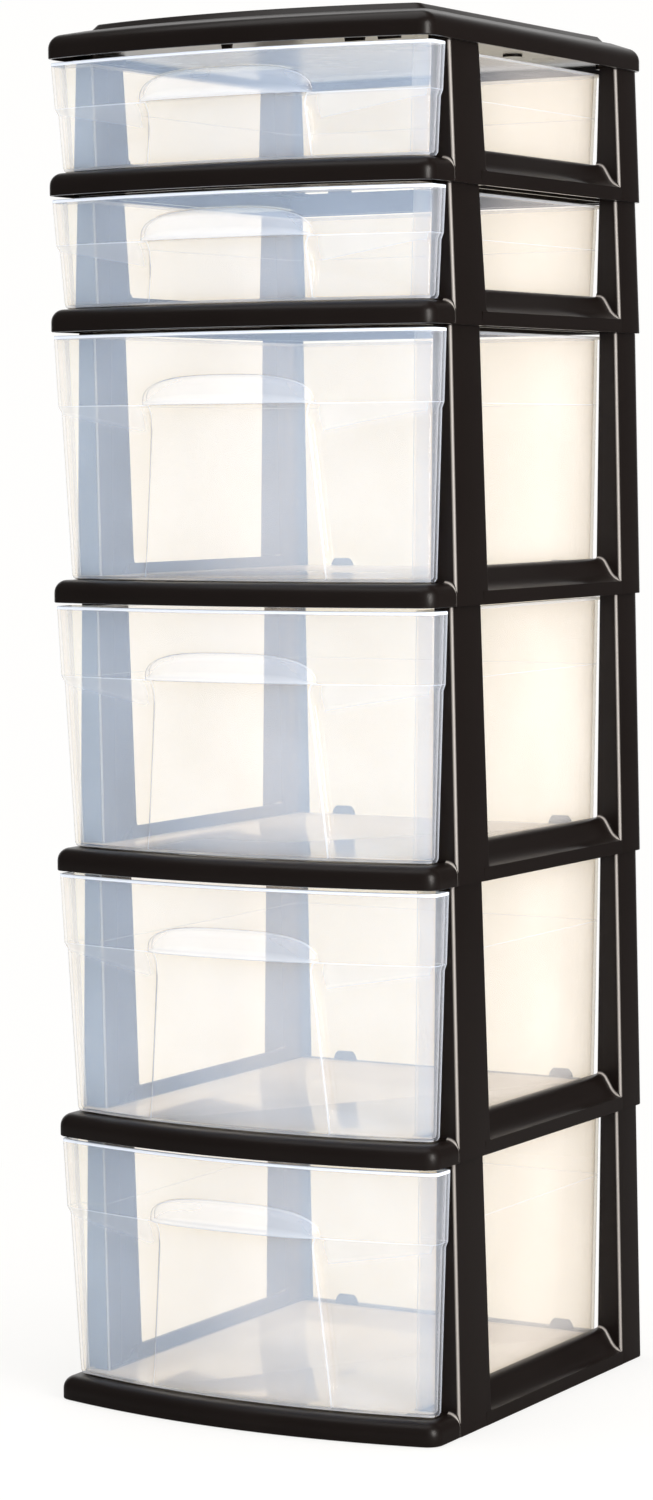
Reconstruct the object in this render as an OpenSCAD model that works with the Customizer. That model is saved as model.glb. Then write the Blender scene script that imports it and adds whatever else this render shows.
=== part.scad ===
// Drawer tower for craft supplies and parts: six stacked frame layers, a lid and six clear drawers.
// Every frame layer is one moulding: a low ring with four posts that carry the layer above.
// The drawers slide on runners inside the rings and pull out towards -Y.
// Millimetres. The origin is the middle of the footprint, on the floor.

/* [Tower] */
// Width across the frame rings
tower_w = 308; // [290:1:330]
// Depth from the middle of the bowed front rail to the back
tower_d = 348; // [320:1:380]
// How far the middle of the front rail stands ahead of its ends
bow = 18; // [8:1:24]
// Rounding of the upright corners, seen from above
corner_r = 12; // [11:1:16]
// Thickness of the moulded frame
wall = 2.5; // [2:0.1:3]

/* [Layers] */
// Height of each of the two small layers
small_h = 95; // [85:1:120]
// Height of each of the four large layers
large_h = 190; // [160:1:220]

/* [Rails] */
// Width of the rails, seen from above
rail_w = 20; // [19.5:0.5:23]
// Height of the front and back rails, which is also the height of the drawer runners
rail_h = 16; // [14:0.5:18]
// Rounding along the top edge of the front and back rails
rail_round = 9; // [6:0.5:10.5]
// Height of the side rails
side_rail_h = 26; // [23:0.5:30]
// Upright foot of the side rails, below their sloping face
side_foot_h = 9.5; // [6:0.5:10]
// Radius of the hollow where the side rails flare out to their foot
flare_r = 14.5; // [10:0.5:14.5]
// Slope of that hollow where it meets the foot, in degrees
flare_start = 15; // [5:1:20]
// Rounding of the side rails' shoulder
shoulder_r = 6; // [5:0.5:6]
// Width of the flat top of the side rails
shoulder_flat = 2; // [1.5:0.5:2.5]
// Width of the drawer runners inside the side rails
runner_w = 14; // [10:0.5:18]
// Thickness of the drawer runners
runner_t = 2.5; // [2:0.1:4]

/* [Posts] */
// Distance from the front corners back to the front posts
post_setback = 36; // [32:1:44]
// Depth of the front posts at their top
front_post_d = 42; // [34:1:54]
// Depth of the back posts
back_post_d = 41; // [34:1:54]
// Width of the posts at their top
post_w = 13.5; // [12:0.5:14]
// How far the outer faces lean in at the top
post_lean = 3.5; // [2:0.1:4]
// How much deeper the front posts are at their foot
post_flare = 5; // [2:0.5:8]

/* [Stacking pegs] */
// Width of a peg
peg_w = 6; // [5:0.5:7]
// Length of a peg
peg_l = 24; // [16:1:28]
// Height of a peg above its post
peg_h = 9; // [6:0.5:11]
// Clearance of a peg in its slot, on each side
peg_gap = 0.4; // [0.3:0.05:0.6]

/* [Stop tabs] */
// Distance of the two drawer stops from the middle of the back rail
stop_x = 93; // [70:1:100]
// Width of a drawer stop
stop_w = 20; // [12:1:24]
// Height of a drawer stop above the back rail
stop_h = 8; // [5:0.5:10]

/* [Lid] */
// Height of the lid's rim
lid_rim_h = 17; // [15:0.5:22]
// Rounding along the lid's top edge
lid_round = 10; // [7:0.5:11]
// How much the lid rises from its rounded edge to the foot of its raised panel
lid_crown = 3.5; // [2:0.5:6]
// Distance from the front and the sides of the lid to the foot of its raised panel
panel_inset = 26; // [24:1:40]
// Distance from the back of the lid to the foot of the panel
panel_back = 18; // [16:1:40]
// Height of the raised panel
panel_rise = 4.5; // [4:0.5:8]
// How far the flank of the panel slopes in
panel_slope = 5; // [4:0.5:8]
// Rounding of the raised panel's corners, seen from above
panel_r = 14; // [12:1:20]
// Width of the seats under the lid that rest on the posts
seat_w = 18.5; // [17:0.5:18.5]

/* [Drawers] */
// Thickness of the drawers
drawer_wall = 2; // [1.6:0.1:2.4]
// Gap between a drawer and the ring above it
drawer_gap = 2.5; // [2:0.1:4]
// Running clearance between a drawer and its runners
runner_gap = 0.3; // [0.2:0.05:0.4]
// Clearance between the tub and the frame on each side
tub_gap = 4; // [3.5:0.1:6]
// Width of the flange around the top of the tub
flange_w = 2; // [1.5:0.1:2.5]
// Thickness of the flange
flange_t = 2; // [1.5:0.1:3]
// How far the drawer front stands in from the sides of the tower
front_inset = 4; // [3:0.5:7]
// How far the drawer front stands behind the front rail
front_set = 7; // [5:0.5:9]
// Gap between the wide drawer front and the front posts
front_gap = 9; // [4:0.5:11]
// Draft of a small drawer from top to bottom
small_taper = 4.4; // [3:0.1:5]
// Draft of a large drawer from top to bottom
large_taper = 6.6; // [4:0.1:8]
// Draft of the tub behind the front, from top to bottom
tub_taper = 3; // [1:0.1:4]
// Step of the crease line across the drawer front
crease_step = 1.5; // [1:0.1:2]
// Distance from the top of a small drawer down to its crease
small_crease = 32; // [30:1:38]
// Distance from the top of a large drawer down to its crease
large_crease = 49.5; // [40:0.5:60]
// Rounding of the drawer's upright corners
drawer_r = 6; // [4:0.5:6]
// Gap between the back of a drawer and the back rail
drawer_back_gap = 5; // [3:0.5:8]

/* [Handles] */
// Width of the arched handle
handle_w = 137; // [100:1:160]
// Height of the arch above the crease
handle_h = 20; // [16:0.5:24]
// How far the handle stands out from the drawer front
handle_out = 6.5; // [4:0.5:6.5]
// How much narrower than the handle the finger recess is at its top, on each side
recess_inset = 3; // [2.5:0.5:6]
// Depth of the finger recess under the handle
recess_d = 10; // [8:0.5:14]
// How much the recess widens on each side towards its foot
recess_splay = 5; // [0:0.5:10]
// Height of the foot of the recess above the floor of the drawer
recess_foot = 18; // [12:0.5:20]

/* [Hidden] */
$fn = 48;

black = [0.07, 0.06, 0.06];
clear = [0.86, 0.9, 0.95, 0.5];
over = 1;                                   // overshoot of a cut
skin = 0.02;                                // thickness of the slices that a hull joins
tub_lap = 8;                                // how far the tub reaches into the wide drawer front

side_x = tower_w / 2;                       // outer face of the rings
inner_x = side_x - rail_w;                  // inner face of the side rails
front_y = -tower_d / 2;                     // middle of the bowed front
corner_y = front_y + bow;                   // line of the front corners
back_y = tower_d / 2;
post_front_y = corner_y + post_setback;
post_back_y = back_y - back_post_d;
peg_x = side_x - post_lean - post_w / 2;    // middle of the pegs, under the middle of the post tops
bow_r = corner_r + bow_radius(side_x - corner_r, bow);

layers_large = 4;
layers_small = 2;
lid_z = layers_large * large_h + layers_small * small_h;

// Radius of an arc that rises by rise over a half chord of half
function bow_radius(half, rise) = (half * half + rise * rise) / (2 * rise);

// Points of an arc from angle a0 to a1
function arc(cx, cy, r, a0, a1, n) =
    [for (i = [0:n]) let (a = a0 + (a1 - a0) * i / n) [cx + r * cos(a), cy + r * sin(a)]];

// Outline of a bowed footprint: half width, front corner line, back, bow, front and back corner radius
function plan(half, y0, y1, rise, r, back_r) =
    let (cx = half - r, big = bow_radius(cx, rise), swing = asin(cx / big), yc = y0 - rise + r + big)
    concat(
        arc(0, yc, big + r, -90 - swing, -90 + swing, 24),
        arc(cx, y0 + r, r, -90 + swing, 0, 7),
        arc(half - back_r, y1 - back_r, back_r, 0, 90, 8),
        arc(back_r - half, y1 - back_r, back_r, 90, 180, 8),
        arc(-cx, y0 + r, r, 180, 270 - swing, 7));

// The ring's outline, moved in by inset
function ring_plan(inset) =
    let (r = max(corner_r - inset, 2))
    plan(side_x - inset, corner_y + inset, back_y - inset, bow, r, r);

module slab(points, z0, z1) {
    translate([0, 0, z0]) linear_extrude(z1 - z0) polygon(points);
}

// Convex disc of the ring's outline with a rounded top edge
module rounded_ring(inset, h, r) {
    hull() {
        slab(ring_plan(inset), 0, h - r);
        for (a = [30, 60, 90]) slab(ring_plan(inset + r * (1 - cos(a))), h - r, h - r + r * sin(a));
    }
}

// Both sides of the tower
module both_sides() {
    children();
    mirror([1, 0, 0]) children();
}

// ---------- frame layers ----------

// Centres of the side rail's two curves: x is the distance in from the outer face
flare_mid = [-flare_r * sin(flare_start), side_foot_h + flare_r * cos(flare_start)];
shoulder_mid = [rail_w - shoulder_flat, side_rail_h - shoulder_r];

// Slope of the straight stretch that touches both curves
function rail_slope() =
    let (d = shoulder_mid - flare_mid)
    atan2(d.y, d.x) + asin((flare_r + shoulder_r) / norm(d));

// Section of a side rail: upright foot, hollow flare, rounded shoulder, and a plain channel inside
function side_rail_section() =
    let (slope = rail_slope(), flare_in = flare_r + wall, shoulder_in = shoulder_r - wall,
        foot_in = 270 + asin((wall - flare_mid.x) / flare_in), top_in = acos((shoulder_flat - wall) / shoulder_in))
    concat(
        [[0, 0]],
        arc(flare_mid.x, flare_mid.y, flare_r, 270 + flare_start, 270 + slope, 8),
        arc(shoulder_mid.x, shoulder_mid.y, shoulder_r, 90 + slope, 90, 6),
        [[rail_w, side_rail_h], [rail_w, 0], [rail_w - wall, 0]],
        arc(shoulder_mid.x, shoulder_mid.y, shoulder_in, top_in, 90 + slope, 6),
        arc(flare_mid.x, flare_mid.y, flare_in, 270 + slope, foot_in, 8),
        [[wall, 0]]);

module side_rail() {
    y0 = post_front_y + front_post_d - wall;
    translate([side_x, post_back_y + wall, 0]) rotate([90, 0, 0])
        linear_extrude(post_back_y + wall - y0)
            mirror([1, 0, 0]) polygon(side_rail_section());
}

// Front rail with its two short returns that end at the front posts
module front_rail() {
    difference() {
        rounded_ring(0, rail_h, rail_round);
        difference() {
            translate([0, 0, -over]) rounded_ring(wall, rail_h - wall + over, rail_round - wall);
            slab(ring_plan(rail_w - wall), -2 * over, rail_h);
        }
        slab(ring_plan(rail_w), -over, rail_h + over);
        translate([-side_x, post_front_y + wall, -over]) cube([tower_w, tower_d, rail_h + 2 * over]);
    }
}

// Back rail between the back posts, with the two drawer stops
module back_rail() {
    half = inner_x + wall;
    difference() {
        translate([-half, back_y - rail_w, 0]) cube([2 * half, rail_w, rail_h]);
        translate([-half - over, back_y - rail_w + wall, -over])
            cube([2 * (half + over), rail_w - 2 * wall, rail_h - wall + over]);
        translate([-half - over, back_y, rail_h]) rotate([0, 90, 0]) difference() {
            translate([-over, -rail_round, 0]) cube([rail_round + over, rail_round + over, 2 * (half + over)]);
            translate([rail_round, -rail_round, 0]) cylinder(r = rail_round, h = 2 * (half + over));
        }
    }
    both_sides() translate([stop_x, back_y - rail_w + wall, rail_h - wall]) rotate([90, 0, 0])
        linear_extrude(wall) intersection() {
            translate([0, wall]) circle(d = stop_w);
            translate([-stop_w / 2, 0]) square([stop_w, stop_h + wall]);
        }
}

// A post as a channel that is open towards the drawers, with a foot plate and a peg on its cap
module post(h, y0, y1, foot_y1) {
    foot_x = inner_x;
    top_x = side_x - post_lean - post_w;
    top_out = side_x - post_lean;
    difference() {
        intersection() {
            post_shape(h, y0, y1, foot_y1, foot_x, top_x, side_x, top_out);
            slab(ring_plan(0), 0, h);
        }
        intersection() {
            translate([0, 0, wall]) post_shape(h - 2 * wall, y0 + wall, y1 - wall, foot_y1 - wall,
                foot_x - rail_w, top_x - rail_w, side_x - wall, top_out - wall);
            slab(ring_plan(wall), 0, h);
        }
        peg_slot(y0, y1);
    }
    translate([peg_x - peg_w / 2, (y0 + y1 - peg_l) / 2, h - wall]) cube([peg_w, peg_l, peg_h + wall]);
}

// Slot for the peg of a post that stands between y0 and y1
module peg_slot(y0, y1) {
    slot_w = peg_w + 2 * peg_gap;
    slot_l = peg_l + 2 * peg_gap;
    translate([peg_x - slot_w / 2, (y0 + y1 - slot_l) / 2, -over]) cube([slot_w, slot_l, wall + 2 * over]);
}

// Solid post that leans in towards its top, seen from the front and from the side
module post_shape(h, y0, y1, foot_y1, foot_x, top_x, foot_out, top_out) {
    intersection() {
        translate([0, back_y + over, 0]) rotate([90, 0, 0]) linear_extrude(tower_d)
            polygon([[foot_x, 0], [foot_out, 0], [top_out, h], [top_x, h]]);
        rotate([90, 0, 90]) linear_extrude(tower_w)
            polygon([[y0, 0], [foot_y1, 0], [y1, h], [y0, h]]);
    }
}

// Runner inside the side rail, from the front rail to the back rail
module runner() {
    y0 = corner_y + rail_w - wall;
    y1 = back_y - rail_w + wall;
    translate([inner_x - runner_w, y0, rail_h - runner_t]) cube([runner_w + wall, y1 - y0, runner_t]);
}

module frame(h) {
    color(black) {
        front_rail();
        back_rail();
        both_sides() {
            side_rail();
            runner();
            post(h, post_front_y, post_front_y + front_post_d, post_front_y + front_post_d + post_flare);
            post(h, post_back_y, back_y, back_y);
        }
    }
}

// ---------- lid ----------

// The lid as a closed block, moved in by inset: rounded rim that rises gently to the raised panel
module lid_block(inset) {
    h = lid_rim_h - inset;
    hull() {
        rounded_ring(inset, h, lid_round - inset);
        slab(ring_plan(panel_inset), h, h + lid_crown);
    }
    hull() {
        lid_panel(inset, panel_r, h, h + lid_crown);
        lid_panel(inset + panel_slope, panel_r - panel_slope, h, h + lid_crown + panel_rise);
    }
}

module lid_panel(inset, r, z0, z1) {
    slab(plan(side_x - panel_inset - inset, corner_y + panel_inset + inset, back_y - panel_back - inset,
        bow, r, r), z0, z1);
}

// Seat under a lid corner that rests on a post and takes its peg, with a rib up to the lid
module lid_seat(y0, y1) {
    difference() {
        intersection() {
            translate([inner_x, y0, 0]) cube([seat_w, y1 - y0, wall]);
            slab(ring_plan(wall / 2), 0, wall);
        }
        peg_slot(y0, y1);
    }
    translate([inner_x, y0, 0]) cube([wall, min(y1, back_y - corner_r) - y0, lid_rim_h - wall / 2]);
}

module lid() {
    color(black) {
        difference() {
            lid_block(0);
            translate([0, 0, -over]) rounded_ring(wall, lid_rim_h - wall + over, lid_round - wall);
            lid_block(wall);
        }
        both_sides() {
            lid_seat(post_front_y, post_front_y + front_post_d);
            lid_seat(post_back_y, back_y);
        }
    }
}

// ---------- drawers ----------

function drawer_top(h) = h - drawer_gap;
function drawer_foot() = rail_h + runner_gap;

// Outline of the wide front: inset for its wall, and draft, which leaves the back of its returns upright
function front_plan(inset, draft) =
    plan(side_x - front_inset - inset - draft, corner_y + front_set + inset + draft,
        post_front_y - front_gap - inset, bow, drawer_r - 1, 1);

// Outline of the tub between the posts, moved in by inset: it laps into the wide front
function tub_plan(inset) =
    plan(inner_x - tub_gap - inset, post_front_y - front_gap - tub_lap + inset,
        back_y - rail_w - drawer_back_gap - inset, 1, 2, drawer_r);

// The drawer as a closed block, moved in by inset: crease across the front, draft all round
module drawer_block(h, taper, crease_z, inset, z0, z1) {
    top = drawer_top(h);
    fall = taper / (top - drawer_foot());
    upper = fall * (top - crease_z);
    lower = fall * (top - z0) + crease_step;
    hull() {
        slab(front_plan(inset, 0), z1 - skin, z1);
        slab(front_plan(inset, upper), crease_z, crease_z + skin);
    }
    hull() {
        slab(front_plan(inset, upper + crease_step), crease_z, crease_z + skin);
        slab(front_plan(inset, lower), z0, z0 + skin);
    }
    hull() {
        slab(tub_plan(inset), z1 - skin, z1);
        slab(tub_plan(inset + tub_taper), z0, z0 + skin);
    }
}

// Outline of the arched handle, moved in by inset
function arch(inset) =
    let (a = handle_w / 2 - inset, b = handle_h - inset, n = 2.8, steps = 28)
    [for (i = [0:steps]) let (t = 180 * i / steps, c = cos(t), s = sin(t))
        [a * sign(c) * pow(abs(c), 2 / n), b * pow(s, 2 / n)]];

// Bulge of the handle in front of the drawer, with its front on a bowed surface
module handle_block(crease_z, inset) {
    reach = bow_r - front_set + handle_out - inset;
    intersection() {
        translate([0, 0, crease_z + inset]) rotate([90, 0, 0]) linear_extrude(tower_d / 2) polygon(arch(inset));
        translate([0, front_y + bow_r, crease_z]) cylinder(r = reach, h = handle_h);
        translate([-tower_w / 2, front_y - handle_out, crease_z]) cube([tower_w, 4 * handle_out, handle_h]);
    }
}

// How far the bowed front falls back at the ends of the handle
function bow_fall() = bow * pow(handle_w / 2 / side_x, 2);

// Finger recess under the handle: its sides splay towards the foot
module recess_block(crease_z, grow) {
    half = handle_w / 2 - recess_inset + grow;
    back = front_y + front_set + bow_fall() + recess_d + grow;
    foot = drawer_foot() + recess_foot - grow;
    translate([0, back, 0]) rotate([90, 0, 0]) linear_extrude(2 * tower_d)
        polygon([[-half, crease_z + grow], [half, crease_z + grow],
            [half + recess_splay, foot], [-half - recess_splay, foot]]);
}

module drawer(h, taper, crease_drop) {
    top = drawer_top(h);
    crease_z = top - crease_drop;
    color(clear) {
        difference() {
            union() {
                drawer_block(h, taper, crease_z, 0, drawer_foot(), top);
                handle_block(crease_z, 0);
            }
            difference() {
                union() {
                    drawer_block(h, taper, crease_z, drawer_wall, drawer_foot() + drawer_wall, top + over);
                    handle_block(crease_z, drawer_wall);
                }
                recess_block(crease_z, drawer_wall);
            }
            recess_block(crease_z, 0);
        }
        difference() {
            slab(tub_plan(-flange_w), top - flange_t, top);
            slab(tub_plan(drawer_wall), top - flange_t - over, top + over);
            translate([-tower_w / 2, -tower_d, 0])
                cube([tower_w, tower_d + post_front_y - front_gap, h]);
        }
    }
}

// ---------- the tower ----------

// Floor height of a layer, counted from the top one
function layer_z(i) = i < layers_small
    ? lid_z - (i + 1) * small_h
    : lid_z - layers_small * small_h - (i + 1 - layers_small) * large_h;

module at_layer(i) {
    translate([0, 0, layer_z(i)]) children();
}

module small_drawer() {
    drawer(small_h, small_taper, small_crease);
}

module large_drawer() {
    drawer(large_h, large_taper, large_crease);
}

translate([0, 0, lid_z]) lid();
at_layer(0) frame(small_h);  // frame_small_1
at_layer(1) frame(small_h);  // frame_small_2
at_layer(2) frame(large_h);  // frame_large_1
at_layer(3) frame(large_h);  // frame_large_2
at_layer(4) frame(large_h);  // frame_large_3
at_layer(5) frame(large_h);  // frame_large_4
at_layer(0) small_drawer();  // drawer_small_1
at_layer(1) small_drawer();  // drawer_small_2
at_layer(2) large_drawer();  // drawer_large_1
at_layer(3) large_drawer();  // drawer_large_2
at_layer(4) large_drawer();  // drawer_large_3
at_layer(5) large_drawer();  // drawer_large_4
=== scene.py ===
"""Drawer tower: a lid and six stacked frame layers of dark plastic, with six clear drawers."""

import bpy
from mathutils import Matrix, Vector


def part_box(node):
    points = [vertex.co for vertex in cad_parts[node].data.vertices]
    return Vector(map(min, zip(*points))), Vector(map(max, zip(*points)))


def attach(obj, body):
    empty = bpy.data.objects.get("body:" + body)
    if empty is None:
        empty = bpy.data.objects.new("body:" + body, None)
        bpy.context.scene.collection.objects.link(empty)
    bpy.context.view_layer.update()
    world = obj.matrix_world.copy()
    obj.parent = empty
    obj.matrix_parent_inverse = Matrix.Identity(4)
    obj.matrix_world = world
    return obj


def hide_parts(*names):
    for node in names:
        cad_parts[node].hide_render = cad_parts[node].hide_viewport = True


bl_info = {
    "name": "Drawer Tower",
    "version": (1, 0, 0),
    "blender": (4, 5, 0),
    "location": "View3D > Sidebar > Drawer Tower",
    "description": "Builds a stacked drawer tower with a lid, frame layers and clear drawers",
    "category": "Add Mesh",
}

from math import acos, asin, atan2, cos, degrees, hypot, radians, sin, sqrt

import bmesh
import bpy
from bpy.props import FloatProperty, FloatVectorProperty, PointerProperty
from mathutils import Matrix, Vector

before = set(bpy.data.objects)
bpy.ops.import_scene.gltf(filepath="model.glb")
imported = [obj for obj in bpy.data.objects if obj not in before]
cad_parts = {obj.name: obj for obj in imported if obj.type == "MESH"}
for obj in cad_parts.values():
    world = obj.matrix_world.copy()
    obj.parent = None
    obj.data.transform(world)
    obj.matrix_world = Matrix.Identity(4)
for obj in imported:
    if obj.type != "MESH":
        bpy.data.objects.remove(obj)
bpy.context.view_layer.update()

SMALL = ("small_1", "small_2")
LARGE = ("large_1", "large_2", "large_3", "large_4")
LAYERS = SMALL + LARGE
SMALL_HEIGHT, LARGE_HEIGHT = 0.095, 0.190

# The tower's overall sizes come from its solids
RING_LOW, RING_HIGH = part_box("frame_large_4")
LID_LOW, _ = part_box("lid")
SIDE_X = RING_HIGH.x
BACK_Y = RING_HIGH.y
FRONT_Y = RING_LOW.y


def length(name, description, default):
    """A size in metres."""
    return FloatProperty(name=name, description=description, default=default, min=0.0, max=1.0,
                         subtype="DISTANCE", unit="LENGTH", precision=4)


def share(name, description, default, high=1.0):
    """A plain share or strength."""
    return FloatProperty(name=name, description=description, default=default, min=0.0, max=high, subtype="FACTOR")


def tint(name, description, default):
    """A colour."""
    return FloatVectorProperty(name=name, description=description, default=default, size=3, min=0.0, max=1.0,
                               subtype="COLOR")


class FrameSizes(bpy.types.PropertyGroup):
    """Sizes of the dark frame layers."""

    wall: length("Wall", "Thickness of the frame", 0.0025)
    bow: length("Bow", "How far the front bulges between its corners", 0.018)
    corner: length("Corner", "Rounding of the upright corners", 0.012)
    rail_width: length("Rail Width", "Width of the rails from above", 0.020)
    rail_height: length("Rail Height", "Height of the front and back rails", 0.016)
    rail_round: length("Rail Round", "Rounding of the front and back rails", 0.009)
    side_height: length("Side Rail Height", "Height of the side rails", 0.026)
    side_foot: length("Side Rail Foot", "Upright foot of the side rails", 0.0095)
    flare: length("Flare", "Radius of the hollow of the side rails", 0.0145)
    shoulder: length("Shoulder", "Rounding of the side rails' shoulder", 0.006)
    shoulder_flat: length("Shoulder Flat", "Flat top of the side rails", 0.002)
    runner_width: length("Runner Width", "Width of the drawer runners", 0.014)
    runner_height: length("Runner Thickness", "Thickness of the drawer runners", 0.0025)
    setback: length("Post Setback", "From the front corners to the front posts", 0.036)
    front_depth: length("Front Post Depth", "Depth of the front posts at their top", 0.042)
    front_flare: length("Front Post Flare", "Extra depth of the front posts at their foot", 0.005)
    back_depth: length("Back Post Depth", "Depth of the back posts", 0.041)
    post_width: length("Post Width", "Width of the posts at their top", 0.0135)
    lean: length("Post Lean", "How far the outer faces lean in at the top", 0.0035)
    fillet: length("Fillet", "Fillets between rails and posts", 0.0025)
    peg_height: length("Peg Height", "Height of the stacking pegs", 0.009)
    stop_out: length("Stop Place", "From the middle to the drawer stops", 0.093)
    stop_height: length("Stop Height", "Height of the drawer stops above the back rail", 0.008)


class LidSizes(bpy.types.PropertyGroup):
    """Sizes of the lid."""

    rim: length("Rim", "Height of the rim", 0.017)
    round: length("Rounding", "Rounding along the top edge of the rim", 0.010)
    crown: length("Crown", "Rise from the rounded edge to the raised panel", 0.0035)
    inset: length("Panel Front", "From the front corners to the raised panel", 0.025)
    side: length("Panel Side", "From the sides to the raised panel", 0.0195)
    back: length("Panel Back", "From the back to the raised panel", 0.018)
    rise: length("Panel Rise", "Height of the raised panel", 0.0045)
    slope: length("Panel Slope", "How far the flank of the panel slopes in", 0.005)
    panel_corner: length("Panel Corner", "Rounding of the panel's corners", 0.011)
    groove: length("Groove", "Depth of the groove around the panel", 0.0007)
    under: length("Underside", "Height of the underside above the rim's foot", 0.0055)
    tab_inset: length("Tab Inset", "From the front corners to the tabs", 0.0155)


class DrawerSizes(bpy.types.PropertyGroup):
    """Sizes of the clear drawers."""

    wall: length("Wall", "Thickness of the drawers", 0.002)
    half_top: length("Half Width", "Half the width of a drawer front at its top", 0.1528)
    corner: length("Corner", "Rounding of the front's upright corners", 0.005)
    set_back: length("Set Back", "From the rings' front corners to the drawer's", 0.0062)
    crease_small: length("Small Crease", "From the top of a small drawer to its crease", 0.032)
    crease_large: length("Large Crease", "From the top of a large drawer to its crease", 0.0495)
    crease_step: length("Crease Step", "Step of the crease at the corners", 0.0015)
    taper_small: length("Small Taper", "Draft of a small drawer", 0.0044)
    taper_large: length("Large Taper", "Draft of a large drawer", 0.0066)
    tub_half: length("Tub Half Width", "Half the width of the tub between the posts", 0.130)
    tub_taper: length("Tub Taper", "Draft of the tub", 0.003)
    flange: length("Flange", "Width and thickness of the flange around the tub", 0.002)
    handle_half: length("Handle Half Width", "Half the width of the arched handle", 0.0685)
    handle_height: length("Handle Height", "Height of the arch above the crease", 0.020)
    handle_out: length("Handle Out", "How far the handle stands out from the front", 0.0085)
    pad_half: length("Pad Half Width", "Half the width of the pad under the handle", 0.065)
    pad_splay: length("Pad Splay", "Extra width of the pad on each side at its foot", 0.0115)
    panel_depth: length("Panel Depth", "How far the side panels lie behind the pad", 0.0045)


class Finishes(bpy.types.PropertyGroup):
    """Colours and finishes of the two plastics."""

    frame_colour: tint("Frame Colour", "Colour of the dark plastic", (0.0072, 0.0046, 0.0039))
    frame_roughness: share("Frame Roughness", "Roughness of the dark plastic", 0.33)
    # Painted highlight colour for the front edges of the posts and the fillets, where the light catches them
    painted_edge_highlight_colour: tint("Edge Colour", "Colour of the worn edges of the posts", (0.36, 0.335, 0.315))
    haze_colour: tint("Front Haze", "Light that the front and back scatter", (0.136, 0.174, 0.245))
    side_haze_colour: tint("Side Haze", "Light that the sides scatter", (0.070, 0.074, 0.084))
    floor_haze_colour: tint("Floor Haze", "Light that the floor scatters", (0.87, 0.83, 0.80))
    clear_colour: tint("Front Clearness", "Light that the front and back let through", (0.838, 0.786, 0.685))
    side_clear_colour: tint("Side Clearness", "Light that the sides let through", (0.945, 0.922, 0.892))
    floor_clear_colour: tint("Floor Clearness", "Light that the floor lets through", (0.20, 0.195, 0.18))
    # Painted highlight colour for the drawers' rims, edges, crease and handle, where light catches them
    rim_highlight_colour: tint("Rim Colour", "Colour of the bright rims and corners", (0.80, 0.86, 0.97))


class StageSettings(bpy.types.PropertyGroup):
    """Strengths of the lights."""

    key: FloatProperty(name="Side Light", description="Power of the side light", default=50.0, min=0.0, unit="POWER")
    top: FloatProperty(name="Top Light", description="Power of the overhead light", default=20.0, min=0.0, unit="POWER")
    ambient: share("Ambient", "Strength of the light from all around", 1.25, 3.0)


# ---------- outlines ----------


def arc(cx, cy, r, start, end, steps):
    """Points of an arc, with its angles in degrees."""
    turns = (radians(start + (end - start) * i / steps) for i in range(steps + 1))
    return [(cx + r * cos(a), cy + r * sin(a)) for a in turns]


def mix(a, b, t):
    """The value a share t of the way from a to b."""
    return a + (b - a) * t


def rectangle(x0, y0, x1, y1):
    """The four corners between two opposite ones."""
    return [(x0, y0), (x1, y0), (x1, y1), (x0, y1)]


class Bow:
    """A bowed front between two rounded corners."""

    def __init__(self, half, corner_y, rise, r):
        self.half, self.r = half, r
        self.corner_y = corner_y
        self.cx = half - r
        big = (self.cx * self.cx + rise * rise) / (2 * rise)
        self.swing = degrees(asin(self.cx / big))
        self.radius = big + r
        self.cy = corner_y - rise + r + big
        self.reach = self.radius * sin(radians(self.swing))

    def y(self, x):
        """Place of the front at x."""
        return self.cy - sqrt(self.radius ** 2 - x * x)

    def front(self, steps):
        """Points from the left end of the bow to its right end."""
        return arc(0, self.cy, self.radius, -90 - self.swing, -90 + self.swing, steps)

    def corner(self, steps):
        """Points of the right corner, from the bow to the side."""
        return arc(self.cx, self.corner_y + self.r, self.r, self.swing - 90, 0, steps)


def mirrored(points):
    """The same points on the other side, in the other order."""
    return [(-x, *rest) for x, *rest in reversed(points)]


def front_path(inset, end_y):
    """The bowed front of the rings with its corners, moved in by inset and open towards the back."""
    s = bpy.context.scene.tower_frame
    bow = Bow(SIDE_X - inset, FRONT_Y + s.bow + inset, s.bow, max(s.corner - inset, 0.002))
    right = bow.corner(8) + [(bow.half, end_y)]
    return mirrored(right) + bow.front(48)[1:-1] + right


def closed_plan(half, y0, y1, rise, r, back_r):
    """A whole footprint with a bowed front."""
    bow = Bow(half, y0, rise, r)
    right = bow.corner(8) + arc(half - back_r, y1 - back_r, back_r, 0, 90, 8)
    return bow.front(48)[1:-1] + right + mirrored(right)


# ---------- meshes ----------


def add_object(name, data):
    """A new object in the scene."""
    obj = bpy.data.objects.new(name, data)
    bpy.context.scene.collection.objects.link(obj)
    return obj


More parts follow.
